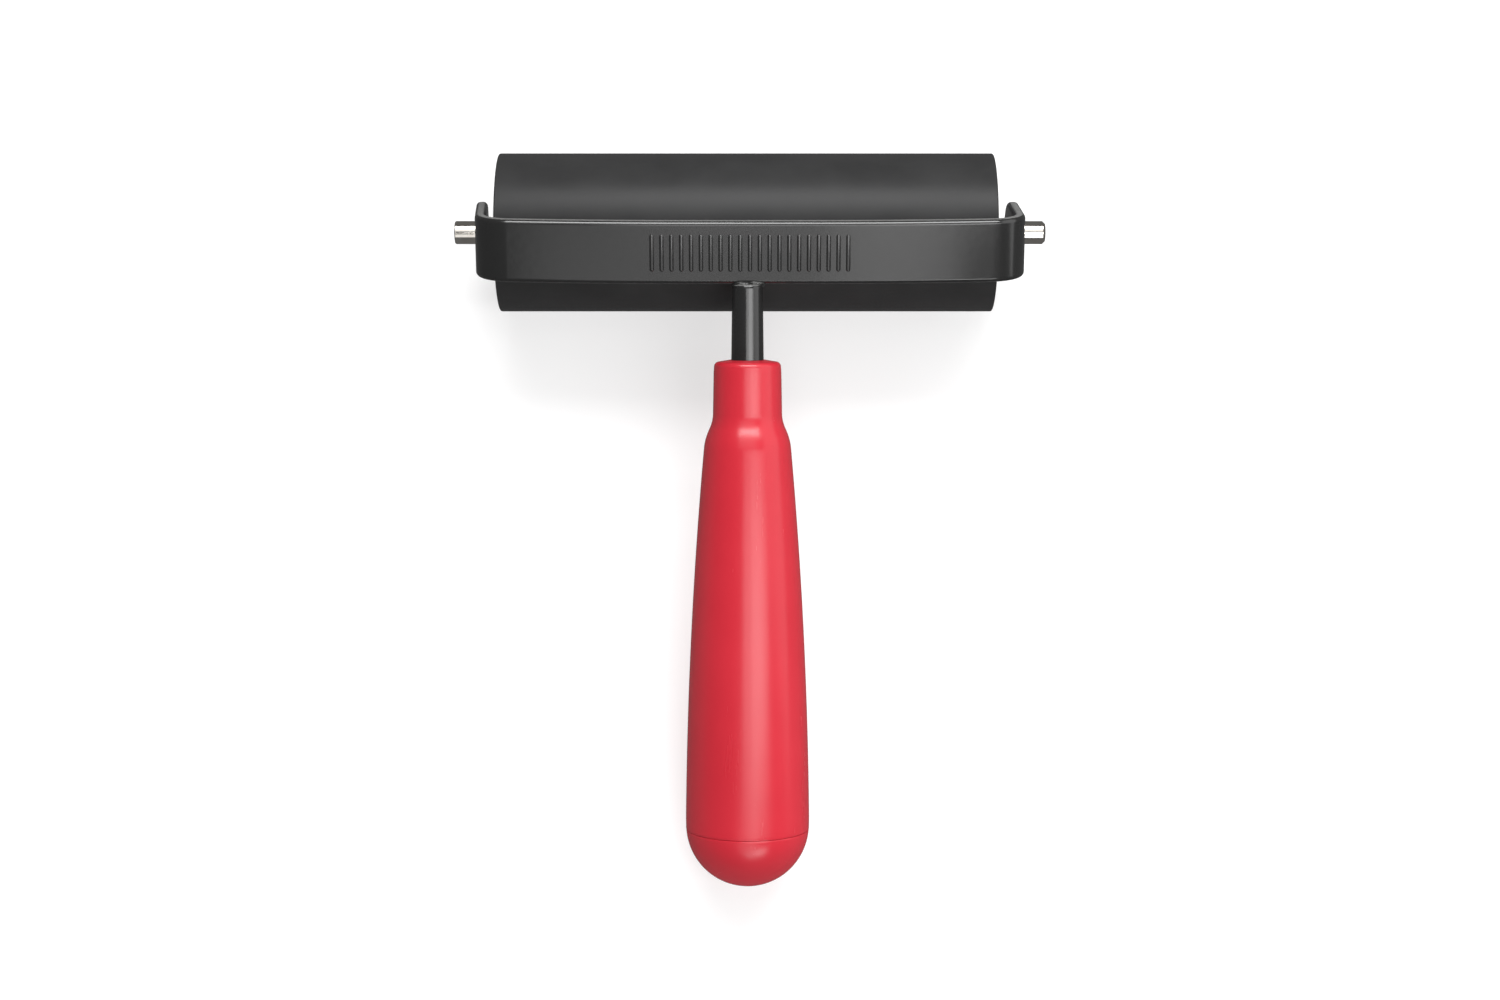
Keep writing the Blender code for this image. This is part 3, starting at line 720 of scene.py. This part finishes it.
def make_weld(material):
    """A lumpy bead that joins the stem's foot to the strap's lower edge and laps onto its faces.
    It starts as a rod of 1 mm radius, whose vertices are then moved out."""
    stations = between(-0.99 * WELD_ON_STRAP, WELD_ON_STEM, WELD_STEPS)
    outline = [(along, 1.0 * MM) for along in stations]
    outline = [(-WELD_ON_STRAP, 0.0)] + outline + [(WELD_ON_STEM, 0.0)]
    shape = turned(outline, ROD_FACETS)
    for corner in shape.verts:
        x, y, along = corner.co
        if x == y == 0.0:
            continue
        angle = math.atan2(y, x)
        out = weld_radius(along, angle)
        lump = noise.fractal(Vector((x, y, along)) * (out / MM) * WELD_LUMP_SCALE, 0.7, 2.0, 3)
        out += WELD_LUMP * lump * (1 - abs(along) / WELD_ON_STEM)
        corner.co = (out * math.cos(angle), out * math.sin(angle), along)
    add_piece("weld_bead", shape, material, HANDLE_PLACE, "frame", ["stem_weld"])


# Handle


def collar_radius(along):
    """The collar is drafted: it widens a little towards the shoulder."""
    return COLLAR_RADIUS + COLLAR_DRAFT * (along - HANDLE_START)


def barrel_radius(along):
    """The barrel widens to the butt, and bulges a little on the way."""
    part = (along - SHOULDER_END) / (BUTT_CENTRE - SHOULDER_END)
    straight = BARREL_RADIUS_AT_SHOULDER + (BUTT_RADIUS - BARREL_RADIUS_AT_SHOULDER) * part
    return straight + 4 * BARREL_BULGE * part * (1 - part)


def shoulder_radius(along):
    """A hollow parabola that leaves the collar, then a rounded one that joins the barrel."""
    collar = collar_radius(SHOULDER_START)
    rise = BARREL_RADIUS_AT_SHOULDER - collar
    barrel_length = BUTT_CENTRE - SHOULDER_END
    end_slope = (BUTT_RADIUS - BARREL_RADIUS_AT_SHOULDER + 4 * BARREL_BULGE) / barrel_length
    hollow = SHOULDER_TURN - SHOULDER_START
    rounded = SHOULDER_END - SHOULDER_TURN
    turn_slope = (2 * rise - COLLAR_DRAFT * hollow - end_slope * rounded) / (hollow + rounded)
    if along < SHOULDER_TURN:
        past = along - SHOULDER_START
        bend = (turn_slope - COLLAR_DRAFT) / (2 * hollow)
        return collar + COLLAR_DRAFT * past + bend * past * past
    left = SHOULDER_END - along
    bend = (turn_slope - end_slope) / (2 * rounded)
    return BARREL_RADIUS_AT_SHOULDER - end_slope * left - bend * left * left


def handle_radius(along):
    """The handle's outside, from the collar to the seam."""
    if along < SHOULDER_START:
        return collar_radius(along)
    return shoulder_radius(along) if along < SHOULDER_END else barrel_radius(along)


def parting_ridge(along, out, index):
    """The mould's parting line: one raised row of vertices along each side of the outside."""
    on_line = index in (0, HANDLE_FACETS // 2)
    start = HANDLE_START + 2 * COLLAR_CORNER
    outside = start < along < SEAM - PARTING_END_GAP and out > handle_radius(along) - 0.1 * MM
    return PARTING_RIDGE if on_line and outside else 0.0


def make_handle(material):
    """The hollow handle: a crowned collar end, collar, shoulder and barrel, open at the seam."""
    opening = SEAM - SEAM_GAP / 2
    ledge = SEAM - SPIGOT_DEPTH
    crown = HANDLE_START - COLLAR_CROWN
    corner_out = COLLAR_RADIUS - COLLAR_CORNER
    corner_along = crown + COLLAR_CROWN_SLOPE * (corner_out - SOCKET_BORE) + COLLAR_CORNER
    cone_angle = 180 - math.degrees(math.atan(COLLAR_CROWN_SLOPE))
    stations = between(corner_along, SHOULDER_START, COLLAR_STEPS)[1:-1]
    stations += between(SHOULDER_START, SHOULDER_END, SHOULDER_STEPS)
    stations += between(SHOULDER_END, BUTT_CENTRE, BARREL_STEPS)[1:]
    lip = crown + SOCKET_LIP_SET_BACK
    outline = [(lip + SOCKET_LIP, SOCKET_BORE), (lip, SOCKET_BORE + SOCKET_LIP)]
    outline += arc((corner_along, corner_out), COLLAR_CORNER, cone_angle, 90, CROWN_CORNER_STEPS)
    outline += [(along, handle_radius(along)) for along in stations]
    outline += [(opening - SEAM_CHAMFER, BUTT_RADIUS)]
    outline += [(opening - SEAM_CHAMFER / 3, BUTT_RADIUS - SEAM_CHAMFER / 4)]
    outline += [(opening, BUTT_RADIUS - SEAM_CHAMFER)]
    outline += [(opening, SPIGOT_BORE), (ledge, SPIGOT_BORE)]
    cavity = between(ledge, CAVITY_START, CAVITY_STEPS)
    outline += [(along, barrel_radius(along) - WALL) for along in cavity]
    outline += [(CAVITY_START, SOCKET_RADIUS), (SOCKET_END, SOCKET_RADIUS), (SOCKET_END, SOCKET_BORE)]
    shape = turned(outline, HANDLE_FACETS, parting_ridge)
    add_piece("handle_shell", shape, material, HANDLE_PLACE, "frame", ["handle_body"])


def make_butt_cap(material):
    """The domed cap and its hollow spigot. The dome stays a hair inside the CAD model's box."""
    rim = SEAM + SEAM_GAP / 2
    spigot = SPIGOT_BORE - FIT_GAP
    spigot_end = SEAM - SPIGOT_DEPTH + SPIGOT_END_GAP
    hollow = spigot - SPIGOT_WALL
    inner_dome = BUTT_RADIUS - CAP_WALL
    centre = (BUTT_CENTRE, 0.0)
    dome = BUTT_RADIUS - DOME_CLEARANCE
    first = math.degrees(math.acos((rim + SEAM_CHAMFER - BUTT_CENTRE) / dome))
    hollow_angle = math.degrees(math.asin(hollow / inner_dome))
    outline = arc(centre, dome, 0, first, DOME_STEPS)
    outline += [(rim + SEAM_CHAMFER / 3, outline[-1][1] - SEAM_CHAMFER / 4)]
    outline += [(rim, outline[-1][1] - 0.75 * SEAM_CHAMFER)]
    outline += [(rim, spigot), (spigot_end, spigot), (spigot_end, hollow)]
    outline += arc(centre, inner_dome, hollow_angle, 0, INNER_DOME_STEPS)
    outline[0] = (outline[0][0], 0.0)
    outline[-1] = (outline[-1][0], 0.0)
    shape = turned(outline, HANDLE_FACETS)
    add_piece("butt_dome", shape, material, HANDLE_PLACE, "frame", ["butt_cap"])


# Stage


def make_floor():
    """A pale floor that glows a little, so that shadows on it stay faint. It isn't seen in gloss."""
    shader = Shader("pale_floor", 0.7)
    shader.colour(shader.mix(shader.noise(25.0), (0.43, 0.43, 0.43), (0.47, 0.47, 0.47)))
    shader.surface.inputs["Emission Color"].default_value = (1.0, 1.0, 1.0, 1.0)
    shader.surface.inputs["Emission Strength"].default_value = FLOOR_GLOW
    shape = bmesh.new()
    bmesh.ops.create_grid(shape, x_segments=FLOOR_CELLS, y_segments=FLOOR_CELLS, size=FLOOR_HALF)
    mesh = bpy.data.meshes.new("floor")
    shape.to_mesh(mesh)
    shape.free()
    mesh.materials.append(shader.material)
    floor = bpy.data.objects.new("floor", mesh)
    floor.location.z = -FLOOR_DROP
    floor.visible_glossy = False
    bpy.context.collection.objects.link(floor)


def make_world():
    world = bpy.data.worlds.new("studio")
    world.use_nodes = True
    background = world.node_tree.nodes["Background"]
    background.inputs["Color"].default_value = (1.0, 1.0, 1.0, 1.0)
    background.inputs["Strength"].default_value = ROOM_BRIGHTNESS
    bpy.context.scene.world = world


def add_lamp(name, x_angles, y_angles, brightness):
    """A level panel that faces down. Its power follows from its brightness and its size."""
    x_low, x_high = [LAMP_HEIGHT * math.tan(math.radians(angle)) for angle in x_angles]
    y_low, y_high = [LAMP_HEIGHT * math.tan(math.radians(angle)) for angle in y_angles]
    light = bpy.data.lights.new(name, "AREA")
    light.shape = "RECTANGLE"
    light.size = x_high - x_low
    light.size_y = y_high - y_low
    light.energy = brightness * math.pi * light.size * light.size_y
    lamp = bpy.data.objects.new(name, light)
    lamp.location = ((x_low + x_high) / 2, (y_low + y_high) / 2, LAMP_HEIGHT)
    lamp.visible_camera = False
    bpy.context.collection.objects.link(lamp)


def add_side_wall():
    """A tall soft wall of light at the right, which fills the sides that face it."""
    low, high = SIDE_WALL_HEIGHTS
    light = bpy.data.lights.new("side_wall", "AREA")
    light.shape = "RECTANGLE"
    light.size = high - low
    light.size_y = SIDE_WALL_REACH[1] - SIDE_WALL_REACH[0]
    light.energy = SIDE_WALL_BRIGHTNESS * math.pi * light.size * light.size_y
    lamp = bpy.data.objects.new("side_wall", light)
    lamp.location = (SIDE_WALL_DISTANCE, sum(SIDE_WALL_REACH) / 2, (low + high) / 2)
    lamp.rotation_euler = (0.0, math.pi / 2, 0.0)
    lamp.visible_camera = False
    bpy.context.collection.objects.link(lamp)


def make_camera():
    data = bpy.data.cameras.new("camera")
    data.sensor_width = CAMERA_SENSOR
    data.lens = CAMERA_LENS
    data.clip_start = CAMERA_CLIP_START
    camera = bpy.data.objects.new("camera", data)
    camera.location = (0.0, axle_y - CAMERA_BEHIND_AXLE, CAMERA_HEIGHT)
    camera.rotation_euler = (CAMERA_PITCH, 0.0, 0.0)
    bpy.context.collection.objects.link(camera)
    bpy.context.scene.camera = camera


def finish_cad_node(name, material):
    """A CAD node that is shown as it is, with a finished material."""
    materials = frame["nodes"][name].data.materials
    materials.clear()
    materials.append(material)


def main():
    make_camera()
    bpy.context.scene.view_settings.view_transform = "Standard"
    make_world()
    make_floor()
    for name, settings in LAMPS.items():
        add_lamp(name, *settings)
    add_side_wall()

    rubber = rubber_material()
    enamel = enamel_material()
    red_plastic = red_plastic_material()
    nickel = nickel_material()
    hub_plastic = plastic_material("hub_plastic", (0.04, 0.04, 0.042), (0.06, 0.06, 0.063), 0.42, 0.6)
    nylon = plastic_material("natural_nylon", (0.62, 0.59, 0.52), (0.7, 0.67, 0.6), 0.35, 0.5)
    bronze = metal_material("sintered_bronze", (0.42, 0.27, 0.13), (0.6, 0.42, 0.22), 0.3, 0.5, 600.0)
    steel = metal_material("drawn_steel", (0.38, 0.38, 0.39), (0.52, 0.52, 0.53), 0.3, 0.45, 500.0)
    spring = metal_material("spring_steel", (0.2, 0.21, 0.23), (0.34, 0.35, 0.38), 0.28, 0.42, 700.0)

    make_sleeve(rubber)
    make_axle(nickel)
    for side in (-1, 1):
        make_hub(side, hub_plastic)
        make_bush(side, bronze)
    make_strap(enamel)
    make_rib_band(enamel)
    make_stem(enamel)
    make_weld(enamel)
    make_handle(red_plastic)
    make_butt_cap(red_plastic)
    finish_cad_node("core_tube", steel)
    for name in SIDE_NAMES.values():
        finish_cad_node(f"thrust_washer_{name}", nylon)
        finish_cad_node(f"retaining_ring_{name}", spring)


main()
